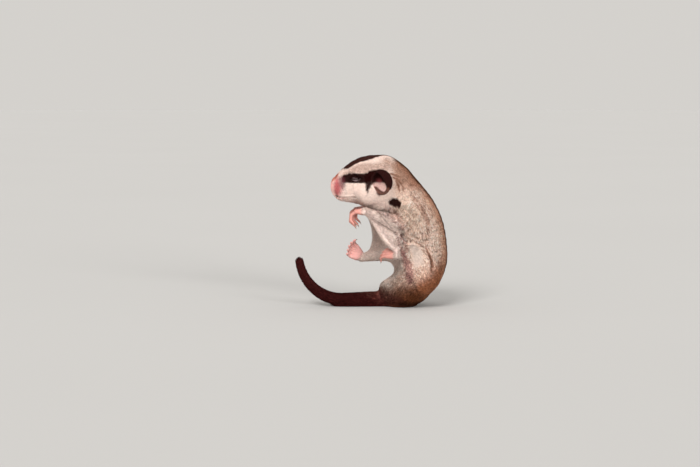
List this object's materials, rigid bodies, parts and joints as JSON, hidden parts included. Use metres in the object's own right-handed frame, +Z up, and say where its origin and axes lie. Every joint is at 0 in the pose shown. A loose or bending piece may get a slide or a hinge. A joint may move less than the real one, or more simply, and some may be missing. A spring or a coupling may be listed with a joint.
{
  "type": "sugar glider joey model",
  "caption": "Still, life-size model of a sugar glider joey, sitting hunched with closed eyes, reaching arms and a tail that curls up at its end.",
  "frame": {"origin": "on the flat that the rump sits on, in the animal's middle plane", "axes": "+Z up, the animal faces -X, its left side is -Y, and it rests on the plane Z = 0"},
  "size_m": [0.0584, 0.0306, 0.0577],
  "materials": {
    "face_coat": "very short soft fur, cream with dark brown stripes",
    "back_coat": "short soft fur, speckled grey-brown",
    "pale_coat": "short soft fur, cream white",
    "tail_coat": "short soft fur, near black brown",
    "ear_skin": "thin bare skin with a dark rim",
    "paw_skin": "bare pink skin",
    "eye": "wet"
  },
  "bodies": {
    "root": {"head": "face_coat", "ear_left": "ear_skin", "ear_right": "ear_skin", "eye_left": "eye", "eye_right": "eye", "neck": "back_coat", "torso": "back_coat", "upper_arm_left": "back_coat", "upper_arm_right": "back_coat", "forearm_left": "back_coat", "forearm_right": "back_coat", "hand_left": "paw_skin", "hand_right": "paw_skin", "membrane_left": "pale_coat", "membrane_right": "pale_coat", "thigh_left": "back_coat", "thigh_right": "back_coat", "shank_left": "back_coat", "shank_right": "back_coat", "foot_left": "paw_skin", "foot_right": "paw_skin", "tail_base": "tail_coat", "tail_middle": "tail_coat", "tail_tip": "tail_coat"}
  },
  "joints": []
}
